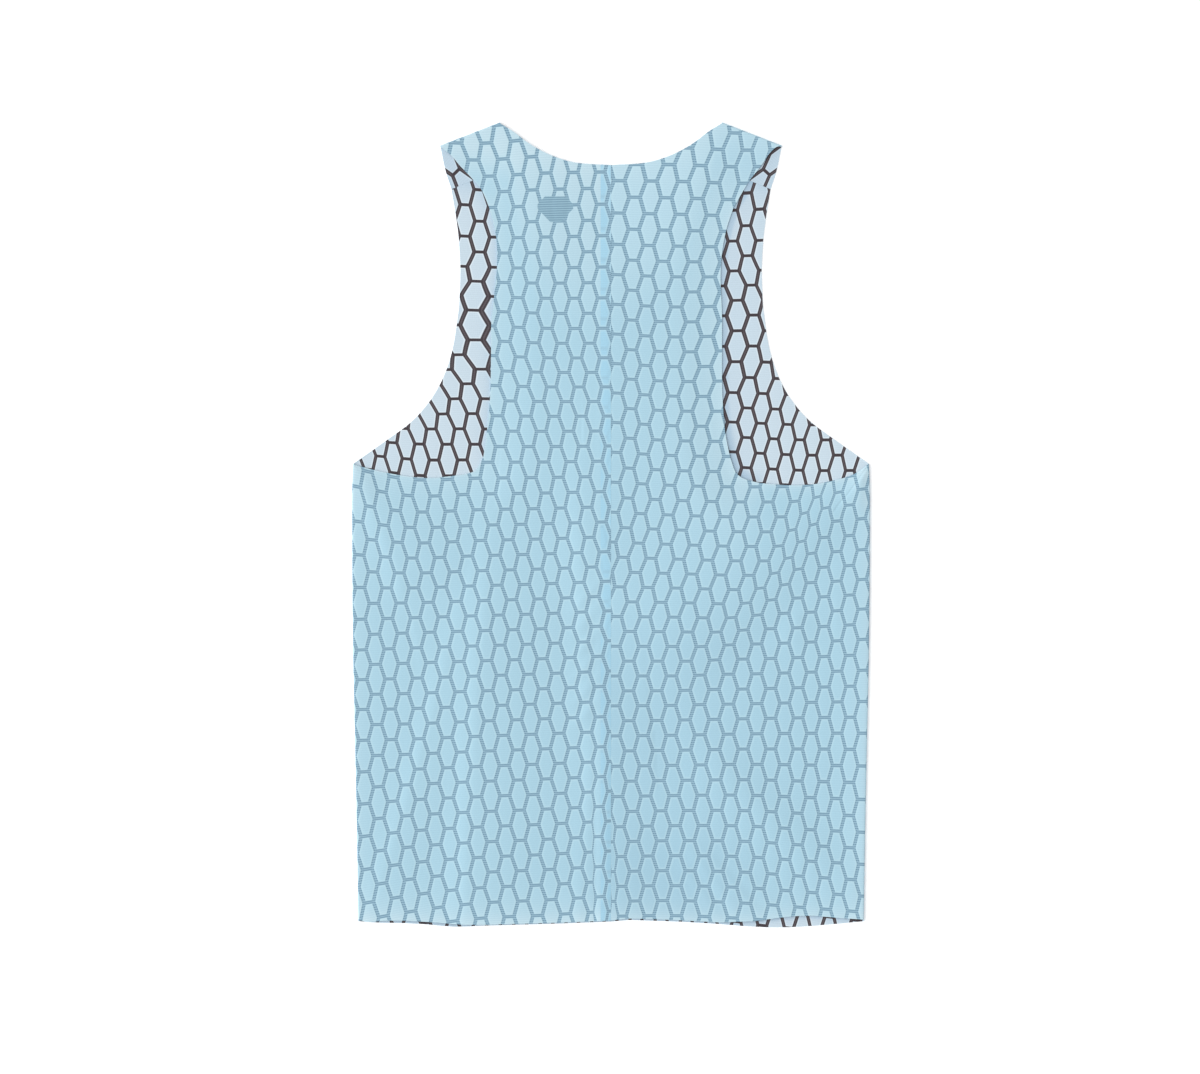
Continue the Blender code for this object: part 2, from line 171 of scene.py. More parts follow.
# How far the left half is raised over the turned strip beside its seam, and over how much it rises
SEAM_STEP = {"up": (-360, -200, -60, 300), "lift": (0.65, 0.46, 0.14, 0.06), "over": 5}
FLAT_EDGE = 12              # no fold within this of a side
FLAT_SHOULDER = 40          # no fold within this of a shoulder
LOWEST_LIFT = -0.6          # keeps a gap between the layers in a trough
CORNER_STAND = 30           # how far from a side fold the back's armhole edge comes to lie
ARMHOLE_LIE = 42            # over how much the back comes down to the level of an armhole's edge
NECK_LIE = 90               # how far into the front's neck opening it sinks to the surface
FOLD_START, FOLD_END = 0.25, 0.4    # share of its lift that a fold has at its lower and upper end
FOLD_TAPER = 3.0            # the slope with which it gains the rest over its share of length
FLANK_START, FLANK_END = 6, 4       # the slopes with which its cells' extra puff sets in and ends
FLANK_MIDDLE = 0.9          # how far left of the crest that puff is largest, in half widths
BELLY_GROWTH = 0.45         # share of its crease over which a belly grows
BELLY_POWER = 1.5           # how softly it leaves that crease: 1 is at once, 2 has no corner

# The net
COLUMN_PITCH = 12.5
ROW_PITCH = 27.2
RIBS_PER_ROW = 14
WALES_PER_COLUMN = 12
HEX_HALF = math.sqrt(3) / 2         # from the middle of a cell of side 1 to its edge
CELL_PUFF = 0.16                    # how far the middle of a cell stands above its strands
FOLD_PUFF = 0.2                     # and how much more on the left flank of a fold
PUFF_POWER = 3                      # how flat the middle of a cell is
PAST_TABLE = 0.6                    # share of a step by which its tables are read past their ends

# Tones of the outer side. The pale tone is partly that of one layer and partly painted light: in the
# yoke, near the edges, at the shoulder tips and as a highlight along the armhole cuts. The deep tone
# is painted shade. A pair is a share and the distance over which it fades, or, where it is named for
# a direction, a start and the stretch from it over which the tone sets in.
PALE_AND_LIT_YOKE = {"left": 0.52, "right": 0.43}
YOKE = (-44, 110)                   # from the front's neckline up, where only one layer lies, with painted light on it too
PAINTED_LIGHT_AT_EDGES = {"left": {"armhole": (0.50, 15), "side": (0.30, 10), "neck": (0.58, 24),
                       "hem": (1.0, 11)},
              "right": {"armhole": (0.72, 34), "side": (0.52, 11), "neck": (0.32, 20),
                        "hem": (0.8, 9)}}
PAINTED_LIGHT_SIDE_TOP = (5, 20)             # upwards, where a side's painted light grows twice as pale
FOOT = {"up": (85, -35), "across": (108, 35)}       # the foot of an armhole, where its reach is:
PAINTED_LIGHT_FOOT = {"left": 17, "right": 5}
PAINTED_LIGHT_TIP = {"left": {"share": 0.65, "across": (60, 50), "up": (300, 50)},
            "right": {"share": 0.3, "across": (110, 50), "up": (300, 50)}}
PAINTED_RIM_HIGHLIGHT = (0.7, 0.9)               # painted highlight along the cut of an armhole
SEAM_FOOT_SHADE = {"across": 55, "reach": 80,  # painted shade beside the foot of the seam, in two steps down
        "steps": ({"share": 0.4, "up": (-60, -60)}, {"share": 0.45, "up": (-255, -60)})}

# Bluish shade on the front's inner side, beside the edges of the back. At the right armhole it is a
# band, with one value beside the armhole's top and one at its foot, and a wide faint shade past it.
SHADE_LEFT = {"share": 0.48, "reach": 4.5, "up": (40, 40)}
SHADE_RIGHT = {"share": (0.45, 0.55), "band": (7, 11), "soft": (3, 8), "wide": (0.18, 25)}
SHADE_FOOT = {"up": (110, -60), "across": (118, 25)}
SHADE_SEAM = (0.3, 9)
SHADE_HEM = (0.8, 2.5)
SHADE_LAP = 0.3                     # on the whole of a strap's turned part

# A plain patch of closed ribs on the left half: a six-sided one whose two sharp corners are cut off
PATCH = {"across": -50.0, "up": 286.7, "slope": 0.96, "half width": 18.0, "cut": 16.0,
         "below": 14.0, "above": 9.0}

# The strip turned back beside the centre seam, under the left half
ALLOWANCE_WIDTH = 9.6
ALLOWANCE_WALL = 0.4
ALLOWANCE_GAP = 0.02                # between it and what lies above and below it
ALLOWANCE_SHORT = {"seam": 0.5, "hem": 0.4, "neck": 0.2}    # how far it ends before each of these
ALLOWANCE_POINTS = (9, 300)         # across it and up

# How the net lies on each piece laid out flat: a height, then the column numbers and the row numbers
# of the net at the places across that the table names
BACK_LEFT_NET = {"across": (-236, -180, -120, -60, 0), "table": [
    (-360, (22.46, 26.96, 31.75, 36.44, 41.22), (29.56, 29.92, 30.22, 30.33, 30.47)),
    (-270, (22.80, 27.26, 32.01, 36.74, 41.58), (26.60, 26.81, 26.94, 27.03, 27.14)),
    (-180, (22.94, 27.45, 32.17, 36.96, 41.73), (23.50, 23.54, 23.63, 23.71, 23.79)),
    (-90, (23.11, 27.66, 32.44, 37.27, 42.06), (20.17, 20.24, 20.31, 20.38, 20.48)),
    (0, (23.24, 28.08, 32.87, 37.70, 42.69), (17.14, 16.92, 16.99, 17.04, 17.11)),
    (90, (23.79, 28.65, 33.52, 38.24, 43.15), (14.26, 13.83, 13.81, 13.79, 13.80)),
    (180, (24.52, 29.14, 34.13, 38.80, 43.59), (10.92, 10.65, 10.50, 10.39, 10.39)),
    (260, (25.23, 29.52, 34.07, 38.88, 43.61), (7.86, 7.64, 7.45, 7.47, 7.52)),
    (320, (25.72, 29.89, 34.22, 38.88, 43.79), (5.57, 5.42, 5.29, 5.39, 5.43)),
    (365, (26.04, 30.16, 34.59, 39.07, 43.84), (3.86, 3.84, 3.80, 3.95, 3.94)),
    (410, (26.34, 30.43, 34.87, 39.33, 43.87), (2.16, 2.29, 2.39, 2.46, 2.46)),
]}
BACK_RIGHT_NET = {"across": (0, 60, 120, 180, 236), "table": [
    (-360, (47.21, 52.06, 56.86, 61.81, 66.58), (30.30, 30.31, 30.21, 30.04, 29.88)),
    (-270, (47.43, 52.17, 56.96, 62.04, 66.88), (26.94, 26.98, 26.97, 26.85, 26.76)),
    (-180, (47.72, 52.47, 57.10, 61.95, 66.79), (23.64, 23.66, 23.70, 23.73, 23.74)),
    (-90, (47.65, 52.29, 56.92, 61.82, 66.65), (20.29, 20.27, 20.23, 20.30, 20.42)),
    (0, (46.88, 51.72, 56.39, 61.28, 66.28), (16.93, 16.83, 16.77, 16.80, 16.96)),
    (90, (46.59, 51.38, 55.93, 61.06, 66.61), (13.59, 13.47, 13.47, 13.57, 13.96)),
    (180, (46.56, 51.13, 55.31, 60.56, 65.77), (10.20, 10.10, 10.18, 10.33, 10.57)),
    (260, (46.53, 50.87, 55.22, 60.12, 64.93), (7.24, 7.18, 7.17, 7.36, 7.54)),
    (320, (46.45, 50.57, 54.94, 59.80, 64.41), (5.16, 5.14, 5.08, 5.17, 5.26)),
    (365, (46.15, 50.19, 54.56, 59.58, 64.07), (3.66, 3.67, 3.59, 3.57, 3.56)),
    (410, (45.75, 49.95, 54.46, 59.29, 63.74), (2.17, 2.16, 2.10, 1.98, 1.85)),
]}
FRONT_NET = {"across": (-235, -170, -130, -100, 100, 130, 170, 235), "table": [
    (-362, (24.53, 29.76, 33.01, 35.47, 52.84, 55.48, 58.81, 64.20),
     (29.77, 30.13, 30.28, 30.33, 30.26, 30.08, 29.93, 29.65)),
    (-150, (24.72, 30.10, 33.41, 35.89, 52.45, 54.93, 58.24, 63.62),
     (22.16, 22.21, 22.24, 22.26, 22.42, 22.44, 22.47, 22.52)),
    (40, (24.44, 30.12, 33.20, 35.56, 52.23, 54.68, 58.13, 63.77),
     (15.49, 15.16, 15.16, 15.18, 15.47, 15.41, 15.34, 15.33)),
    (80, (24.93, 30.27, 33.46, 35.82, 52.27, 54.61, 57.98, 63.54),
     (13.86, 13.74, 13.74, 13.73, 13.99, 13.94, 13.88, 13.90)),
    (120, (25.80, 31.00, 33.84, 35.93, 52.27, 54.47, 57.70, 63.20),
     (12.26, 12.23, 12.27, 12.26, 12.48, 12.45, 12.40, 12.45)),
    (160, (26.63, 31.82, 34.54, 36.05, 52.10, 54.15, 57.35, 62.91),
     (10.73, 10.73, 10.75, 10.75, 11.03, 11.04, 10.99, 11.02)),
    (200, (27.11, 31.97, 34.67, 36.16, 52.07, 54.14, 57.36, 62.74),
     (9.28, 9.26, 9.26, 9.21, 9.57, 9.60, 9.58, 9.61)),
    (240, (27.16, 31.63, 34.23, 36.29, 52.23, 54.53, 57.58, 62.71),
     (7.87, 7.80, 7.73, 7.70, 8.07, 8.10, 8.16, 8.24)),
    (280, (26.88, 31.26, 34.10, 36.45, 52.18, 54.70, 57.78, 62.80),
     (6.49, 6.38, 6.29, 6.24, 6.61, 6.64, 6.76, 6.88)),
    (320, (26.45, 31.05, 34.19, 36.65, 52.02, 54.50, 57.83, 62.94),
     (5.11, 4.99, 4.90, 4.80, 5.23, 5.35, 5.41, 5.51)),
]}

# Where the right half is gathered into its belly's crease: columns and rows of the net that are lost
GATHER = {
    "up": (-190, -150, -110, -70, -30, 10, 50), "across": (50, 73, 95, 132, 163, 177, 200),
    "columns": (0.00, 0.03, 0.11, 0.27, 0.56, 0.70, 0.41),
    "rows": (0.00, 0.03, 0.10, 0.16, 0.23, 0.28, 0.10),
}
GATHER_WIDTH = 38.7
# Columns lost in the small tuck beside the seam of the left half, towards the hem
TUCK = {"across": -16.6, "width": 2.5, "columns": 0.39, "below": -217, "over": 72}
# Columns lost at the seam itself, towards the hem
SEAM_DRAW = {"left": {"columns": 0.32, "reach": 5.8, "below": -130, "over": 100},
             "right": {"columns": -0.71, "reach": 3.4, "below": -240, "over": 70}}
# Columns and rows by which the net has slipped where a strap has gone over its shoulder
SHOULDER_SLIP = {"left": (0.30, 0.32), "right": (-0.87, 0.06)}


def smooth_step(values):
    """0 below 0, 1 above 1, with no corner between."""
    values = np.clip(values, 0.0, 1.0)
    return values * values * (3 - 2 * values)


def rise(values, start, over):
    """0 up to a start and 1 past a stretch from it. A stretch less than 0 goes the other way."""
    return smooth_step((values - start) / over)


def between(pair, share):
    """A value on the way from the first of a pair to the second."""
    return pair[0] + (pair[1] - pair[0]) * share


def curve_through(table):
    """Many points of a smooth curve through a table's points."""
    points = np.array(table, float)
    points = np.vstack([2 * points[0] - points[1], points, 2 * points[-1] - points[-2]])
    before, start, end, after = (points[i:len(points) - 3 + i, None] for i in range(4))
    t = (np.arange(CURVE_STEPS) / CURVE_STEPS)[None, :, None]
    bend = (2 * start + (end - before) * t + (2 * before - 5 * start + 4 * end - after) * t ** 2
            + (3 * start - before - 3 * end + after) * t ** 3) / 2
    return np.vstack([bend.reshape(-1, points.shape[1]), points[-2]])


def evenly(table, steps):
    """steps + 1 points at equal distances along the curve through a table."""
    curve = curve_through(table)
    lengths = np.concatenate([[0], np.cumsum(np.linalg.norm(np.diff(curve, axis=0), axis=1))])
    wanted = np.linspace(0, lengths[-1], steps + 1)
    return np.stack([np.interp(wanted, lengths, curve[:, axis]) for axis in (0, 1)], axis=1)


def up_at(table, across):
    """Height of a hem at places across."""
    return np.interp(across, *zip(*table))


def side_at(up):
    """Half width of the folded garment at a height."""
    across, heights = zip(*SIDE)
    return np.interp(up, heights, across)


def armhole_below_top(which):
    """The armhole edge of a back half from its side fold to where it turns to the shoulder."""
    return ARMHOLE_LOW[which] + ARMHOLE_MID[which][1:]


def armhole_edge(which):
    """The whole of that edge, as far as the tip of the shoulder."""
    return armhole_below_top(which) + ARMHOLE_TOP[which][1:]


SHOULDER_ALONG = (NECK_POINT - TIP) / np.linalg.norm(NECK_POINT - TIP)
SHOULDER_OUT = np.array((SHOULDER_ALONG[1], -SHOULDER_ALONG[0]))


# ---- How the back lies ----

def beside_path(places, path):
    """Distance of places from a curved path, more than 0 on its right, and their share along it."""
    start, bend, end = (np.array(point, float) for point in path)
    t = np.linspace(0, 1, PATH_STEPS + 1)[:, None]
    points = (1 - t) ** 2 * start + 2 * t * (1 - t) * bend + t ** 2 * end
    nearest = np.full(places.shape[:-1], np.inf)
    signed, share = np.zeros_like(nearest), np.zeros_like(nearest)
    for step in range(PATH_STEPS):
        along = points[step + 1] - points[step]
        length = np.linalg.norm(along)
        along = along / length
        offset = places - points[step]
        reach = np.clip(offset @ along, 0, length)
        distance = np.linalg.norm(offset - reach[..., None] * along, axis=-1)
        side = np.sign(offset @ np.array((along[1], -along[0])))
        closer = distance < nearest
        nearest = np.where(closer, distance, nearest)
        signed = np.where(closer, side * distance, signed)
        share = np.where(closer, (step + reach / length) / PATH_STEPS, share)
    return signed, share


def tapered(share):
    """A fold's own share of its lift along it, less at its two ends."""
    return np.minimum(1, np.minimum(FOLD_START + FOLD_TAPER * share,
                                    FOLD_END + FOLD_TAPER * (1 - share)))


def ridge_lift(places, fold):
    """How far a fold lifts the back, or lowers it."""
    signed, share = beside_path(places, fold["path"])
    width = np.where(signed < 0, fold["left"], fold["right"])
    return fold["lift"] * tapered(share) * np.exp(-(signed / width) ** 2)


def on_left_flank(places):
    """1 on the left flanks of the ridges, and 0 away from them."""
    most = np.zeros(places.shape[:-1])
    for fold in FOLDS:
        if fold["lift"] > 0:
            signed, share = beside_path(places, fold["path"])
            ends = smooth_step(FLANK_START * share) * smooth_step(FLANK_END * (1 - share))
            off = signed / fold["left"] + FLANK_MIDDLE
            most = np.maximum(most, ends * np.exp(-off ** 2))
    return most


def belly_lift(places, belly):
    """How far a belly stands off, on the left of its crease."""
    signed, share = beside_path(places, belly["path"])
    off = np.maximum(-signed, 0)
    dive = 1 - np.exp(-(off / belly["dive"]) ** BELLY_POWER)
    fade = np.exp(-(off / belly["fade"]) ** 2)
    return belly["lift"] * smooth_step(share / BELLY_GROWTH) * dive * fade


def distance_to(places, table):
    """Distance of places of either half from a curve of the outline."""
    curve = curve_through(table)
    places = np.stack([np.abs(places[..., 0]), places[..., 1]], axis=-1)
    return np.stack([np.linalg.norm(row[:, None] - curve, axis=-1).min(axis=-1) for row in places])


def back_level(places, which):
    """Middle of the back's wall: how it lies on the front and in its neck opening, and its folds."""
    across, up = np.abs(places[..., 0]), places[..., 1]
    to_armhole = distance_to(places, armhole_edge(which))
    side = side_at(up) - across
    edge = np.minimum(side, to_armhole)
    shoulder = (across - NECK_POINT[0]) * SHOULDER_OUT[0] + (up - NECK_POINT[1]) * SHOULDER_OUT[1]
    off_shoulder = smooth_step(-shoulder / FLAT_SHOULDER)

    lift = SAG * smooth_step(edge / SAG_EDGE)
    lift = lift + sum(ridge_lift(places, fold) for fold in FOLDS + WRINKLES)
    lift = lift + sum(belly_lift(places, belly) for belly in BELLIES)
    lift = np.maximum(lift * smooth_step(edge / FLAT_EDGE), LOWEST_LIFT)
    if which == "left":
        over = SEAM_STEP["over"]
        step = rise(across, 0, over) * (1 - rise(across, ALLOWANCE_WIDTH, over))
        lift = lift + step * np.interp(up, SEAM_STEP["up"], SEAM_STEP["lift"])

    close = (1 - smooth_step(to_armhole / ARMHOLE_LIE)) * smooth_step(side / CORNER_STAND)
    neck = FRONT_NECK + LAP_NECK[1:]
    edges, heights = zip(*neck)
    inside = (across < np.interp(up, heights, edges)) & (up > heights[0])
    sunk = smooth_step(distance_to(places, neck) / NECK_LIE) * inside
    to_corner = np.hypot(across - CORNER["across"], up - CORNER["up"])
    corner = np.exp(-(to_corner / CORNER["reach"]) ** 2)
    edge_level = EDGE_LEVEL[which] + CORNER_RISE[which] * corner
    level = UPPER_LEVEL + (edge_level - UPPER_LEVEL) * close * off_shoulder
    level = level + (IN_NECK_LEVEL - level) * sunk * off_shoulder
    return level + lift * (1 - sunk) * (1 - close) * off_shoulder


# ---- The net ----

def smooth_read(knots, values, places):
    """A smooth curve through values at knots, read at places. The values may differ between places."""
    knots = np.array(knots, float)
    slopes = np.gradient(values, knots, axis=0)
    step = np.clip(np.searchsorted(knots, places) - 1, 0, len(knots) - 2)
    width = knots[step + 1] - knots[step]
    t = np.clip((places - knots[step]) / width, -PAST_TABLE, 1 + PAST_TABLE)
    start, end = (np.take_along_axis(values, at[None], 0)[0] for at in (step, step + 1))
    leave, arrive = (np.take_along_axis(slopes, at[None], 0)[0] * width for at in (step, step + 1))
    return ((2 * t ** 3 - 3 * t ** 2 + 1) * start + (t ** 3 - 2 * t ** 2 + t) * leave
            + (3 * t ** 2 - 2 * t ** 3) * end + (t ** 3 - t ** 2) * arrive)


def net_at(net, places):
    """Column and row numbers of the net at places of a piece, laid out flat."""
    across, up = places[..., 0], places[..., 1]
    heights, *tables = zip(*net["table"])
    numbers = []
    for table in tables:
        at_height = [smooth_read(heights, np.tile(column[:, None, None], (1, *up.shape)), up)
                     for column in np.array(table).T]
        numbers.append(smooth_read(net["across"], np.array(at_height), across))
    return np.stack(numbers, axis=-1)


def gathered(places):
    """Columns and rows lost to the gather of the right half."""
    across, up = places[..., 0], places[..., 1]
    heights, middle, columns, rows = (np.array(GATHER[kind], float)
                                      for kind in ("up", "across", "columns", "rows"))
    lean = np.interp(up, (heights[1:] + heights[:-1]) / 2, np.diff(middle) / np.diff(heights))
    off = (across - np.interp(up, heights, middle)) / np.sqrt(1 + lean ** 2)
    share = smooth_step(off / GATHER_WIDTH + 0.5)
    return np.stack([share * np.interp(up, heights, lost) for lost in (columns, rows)], axis=-1)


def tucked(places, which):
    """Columns lost in the tuck of the left half, and at the seam of either."""
    across, up = places[..., 0], places[..., 1]
    seam = SEAM_DRAW[which]
    lost = (seam["columns"] * np.exp(-np.abs(across) / seam["reach"])
            * rise(up, seam["below"], -seam["over"]))
    if which == "left":
        past = smooth_step((across - TUCK["across"]) / TUCK["width"] + 0.5)
        lost = lost + TUCK["columns"] * past * rise(up, TUCK["below"], -TUCK["over"])
    return np.stack([lost, 0 * lost], axis=-1)


def back_net_at(places, which):
    """Column and row numbers of the net of a back half."""
    if which == "left":
        return net_at(BACK_LEFT_NET, places) + tucked(places, which)
    return net_at(BACK_RIGHT_NET, places) + tucked(places, which) + gathered(places)


def cell_reach(net):
    """0 in the middle of a cell of the net and 1 at its strands."""
    column, row = net[..., 0], net[..., 1]
    reaches = []
    for odd in (0, 1):
        off_column = (column - odd) / 2
        off_column = 2 * (off_column - np.round(off_column))
        off_row = row - 0.5 * (1 - odd)
        off_row = off_row - np.round(off_row)
        x, y = 1.5 * np.abs(off_column), math.sqrt(3) * np.abs(off_row)
        reaches.append(np.maximum(y, HEX_HALF * x + 0.5 * y) / HEX_HALF)
    return np.minimum(*reaches)


# ---- Grids of points ----

def edge_turn(turn):
    """How far out, down and along the cloth each step of a side fold goes, for rows of some turn."""
    angles = [turn * math.pi / 2 / TURN_STEPS * (step + 0.5) for step in range(TURN_STEPS)]
    angles = np.stack([*angles, turn * math.pi / 2], axis=1)
    steps = np.array([EDGE_RADIUS * math.pi / 2 / TURN_STEPS] * TURN_STEPS + [EDGE_STRAIGHT])
    return (np.cumsum(steps * np.cos(angles), axis=1), np.cumsum(steps * np.sin(angles), axis=1),
            np.cumsum(steps))


def half_grid(stretches, hem, side, columns):
    """One half of a panel from the hem up, as places from its inner to its outer edge.

    A row bows down towards its inner end by the power in its stretch, which is 1 for a straight one.
    The first stretch follows the hem, and the second leaves its outer edge at right angles.
    Gives where the places are seen from above, where they are on the cloth laid out flat, and how far
    the side fold has turned them towards the other layer.
    """
    inner, outer, turn, bow, fans, hem_share = [], [], [], [], [], []
    for number, stretch in enumerate(stretches):
        kept = slice(0 if number == 0 else 1, None)     # a stretch shares its first row with the last
        share = np.linspace(0, 1, stretch["rows"] + 1)[kept]
        inner.append(evenly(stretch["inner"], stretch["rows"])[kept])
        outer.append(evenly(stretch["outer"], stretch["rows"])[kept])
        first, last = stretch["turn_over"]
        before, after = stretch["turn"]
        turn.append(before + (after - before) * rise(share, first, last - first))
        hem_share.append((1 - share) ** 2 if number == 0 else 0 * share)
        bow.append(between(stretch["bow"], share))
        fans.append(np.full(len(share), number == 1))
    inner, outer = (np.vstack(parts) * (side, 1) for parts in (inner, outer))
    turn, bow, fans, hem_share = (np.concatenate(parts) for parts in (turn, bow, fans, hem_share))

    out, down, along = edge_turn(turn)
    direction = outer - inner
    edge = np.gradient(outer, axis=0) * side
    direction = np.where(fans[:, None], np.stack([edge[:, 1], -edge[:, 0]], axis=1), direction)
    direction /= np.linalg.norm(direction, axis=1, keepdims=True)
    last_flat = outer - direction * (out[:, -1] + turn * WALL / 2)[:, None]
    share = np.linspace(0, 1, columns + 1)[None, :]
    share = np.stack([np.repeat(share, len(bow), axis=0), share ** bow[:, None]], axis=-1)
    flat = inner[:, None] + (last_flat - inner)[:, None] * share
    seen = np.concatenate([flat, last_flat[:, None] + direction[:, None] * out[..., None]], axis=1)
    cloth = np.concatenate([flat, last_flat[:, None] + direction[:, None] * along[:, None]], axis=1)
    turned = np.concatenate([np.zeros(flat.shape[:2]), down], axis=1)

    first, last = seen[:, :1], seen[:, -1:]
    part = (seen[..., 0] - first[..., 0]) / (last[..., 0] - first[..., 0])
    ends = [up_at(hem, edge[..., 0]) for edge in (first, last)]
    wave = up_at(hem, seen[..., 0]) - (ends[0] + (ends[1] - ends[0]) * part)
    seen[..., 1] += wave * hem_share[:, None]
    cloth[..., 1] += wave * hem_share[:, None]
    return seen, cloth, turned


def over_shoulder(seen, cloth, side):
    """Rows that carry a strap over the shoulder, then under it to the forward seam."""
    outward = SHOULDER_OUT * (side, 1)
    last, last_cloth = seen[-1], cloth[-1]
    angles = np.pi * np.arange(1, ROLL_STEPS + 1) / ROLL_STEPS
    roll = last + outward * (FOLD_RADIUS * np.sin(angles))[:, None, None]
    roll_cloth = last_cloth + outward * (FOLD_RADIUS * angles)[:, None, None]
    roll_level = LOWER_LEVEL + FOLD_RADIUS * (1 + np.cos(angles))

    share = np.arange(1, LAP_ROWS + 1)[:, None] / LAP_ROWS
    drawn_in = -outward * FOLD_REACH * (1 - share) + outward * SEAM_GAP / 2 * share
    inner = evenly(LAP_NECK[::-1], LAP_ROWS)[1:] * (side, 1) + drawn_in
    outer = evenly(LAP_ARMHOLE[::-1], LAP_ROWS)[1:] * (side, 1) + drawn_in
    spread = np.linalg.norm(last - last[0], axis=1) / np.linalg.norm(last[-1] - last[0])
    lap = inner[:, None] + (outer - inner)[:, None] * spread[None, :, None]
    fold_line = NECK_POINT * (side, 1)
    below = (fold_line - lap) @ outward
    lap_cloth = lap + outward * (2 * below + math.pi * FOLD_RADIUS - 2 * FOLD_REACH)[..., None]
    level = np.concatenate([np.repeat(roll_level[:, None], len(last), axis=1),
                            np.full(lap.shape[:2], LOWER_LEVEL)])
    return np.vstack([roll, lap]), np.vstack([roll_cloth, lap_cloth]), level


def shell(name, seen, level, nets, marks, materials, wall=WALL, halves=1):
    """A wall of cloth on a grid of places, or on two side by side that join where they touch.

    Column and row numbers of each net are a UV map.
    """
    rows, columns = level.shape
    points = np.concatenate([seen, level[..., None]], axis=2).reshape(-1, 3) * MM
    starts = np.delete(np.arange(columns), np.arange(1, halves + 1) * columns // halves - 1)
    corner = (np.arange(rows - 1)[:, None] * columns + starts).reshape(-1, 1)
    faces = corner + np.array((0, 1, columns + 1, columns))
    mesh = bpy.data.meshes.new(name)
    mesh.from_pydata(points.tolist(), [], faces.tolist())
    for net, numbers in nets.items():
        layer = mesh.uv_layers.new(name=net)
        corners = numbers.reshape(-1, 2)[faces.reshape(-1)]
        layer.data.foreach_set("uv", corners.astype(np.float32).ravel())
    for mark, values in marks.items():
        attribute = mesh.attributes.new(mark, "FLOAT", "POINT")
        attribute.data.foreach_set("value", values.astype(np.float32).ravel())
    piece = bpy.data.objects.new(name, mesh)
    bpy.context.scene.collection.objects.link(piece)
    for material in materials:
        mesh.materials.append(material)
    if halves > 1:
        piece.modifiers.new("joined halves", "WELD").merge_threshold = WELD_REACH * MM
    solidify = piece.modifiers.new("wall", "SOLIDIFY")
    solidify.thickness = wall * MM
    solidify.offset = 0.0
    solidify.material_offset = 1
    solidify.material_offset_rim = 2
    made = bpy.data.meshes.new_from_object(
        piece.evaluated_get(bpy.context.evaluated_depsgraph_get()))
    piece.modifiers.clear()
    piece.data = made
    made.shade_smooth()
    made.set_sharp_from_angle(angle=math.radians(SHARP_ANGLE))
    return piece


# ---- Shader maths ----

class Value:
    """A socket that takes part in sums: an expression on values adds its Math nodes."""

    def __init__(self, paint, socket):
        self.paint, self.socket = paint, socket

    def maths(self, operation, *others, clamp=False):
        settings = {"operation": operation, "use_clamp": clamp}
        return self.paint.node("ShaderNodeMath", settings, [self, *others])

    def __add__(self, other):
        return self.maths("ADD", other)

    def __sub__(self, other):
        return self.maths("SUBTRACT", other)

    def __rsub__(self, other):
        return self.paint.node("ShaderNodeMath", {"operation": "SUBTRACT"}, [other, self])

    def __mul__(self, other):
        return self.maths("MULTIPLY", other)

    def __truediv__(self, other):
        return self.maths("DIVIDE", other)

    def __lt__(self, other):
        return self.maths("LESS_THAN", other)

    def __abs__(self):
        return self.maths("ABSOLUTE")

    def __round__(self):
        return self.maths("ROUND")

    __radd__ = __add__
    __rmul__ = __mul__

    def most(self, other):
        return self.maths("MAXIMUM", other)

    def cosine(self):
        return self.maths("COSINE")

    def clamped(self):
        return self.maths("ADD", 0.0, clamp=True)


class Paint:
    """The nodes of one material."""

    def __init__(self, name):
        self.material = bpy.data.materials.new(name)
        self.material.use_nodes = True
        self.tree = self.material.node_tree
        self.tree.nodes.clear()

    def node(self, kind, settings=None, inputs=(), output=0):
        """Adds a node: its settings first, then its sockets' values or links. Gives one output."""
        node = self.tree.nodes.new(kind)
        for name, setting in (settings or {}).items():
            setattr(node, name, setting)
        for key, value in inputs.items() if isinstance(inputs, dict) else enumerate(inputs):
            if isinstance(value, Value):
                self.tree.links.new(value.socket, node.inputs[key])
            else:
                node.inputs[key].default_value = value
        return None if output is None else Value(self, node.outputs[output])

    def blend(self, share, start, end):
        """A colour between two others."""
        return self.node("ShaderNodeMix", {"data_type": "RGBA"}, {0: share, 6: start, 7: end}, 2)

    def axes(self, vector):
        return [self.node("ShaderNodeSeparateXYZ", None, [vector], axis) for axis in range(3)]

    def place(self):
        """Where a point lies on the garment, in metres."""
        return self.node("ShaderNodeTexCoord", None, (), "Object")

    def mark(self, name):
        return self.node("ShaderNodeAttribute", {"attribute_name": name}, (), "Fac")

    def noise(self, vector, scale, detail=2.0):
        inputs = {"Vector": vector, "Scale": scale, "Detail": detail}
        return self.node("ShaderNodeTexNoise", None, inputs, 0)

    def finish(self, colour, height, roughness, sheen, depth):
        """A matt cloth: its colour, its fine relief of some depth, and how it scatters light."""
        bump = self.node("ShaderNodeBump", None,
                         {"Strength": 1.0, "Distance": depth * MM, "Height": height})
        shader = self.node("ShaderNodeBsdfPrincipled", None, {
            "Base Color": colour, "Roughness": roughness, "Sheen Weight": sheen,
            "Specular IOR Level": 0.25, "Normal": bump})
        return self.done(shader)

    def done(self, shader):
        self.node("ShaderNodeOutputMaterial", None, {"Surface": shader}, None)
        return self.material


def tone(red, green, blue):
    """A colour as a dyer's chart gives it, 0 to 255 each, for a shader's socket."""
    shares = [value / 255 for value in (red, green, blue)]
    return (*[s / 12.92 if s <= 0.04045 else ((s + 0.055) / 1.055) ** 2.4 for s in shares], 1.0)


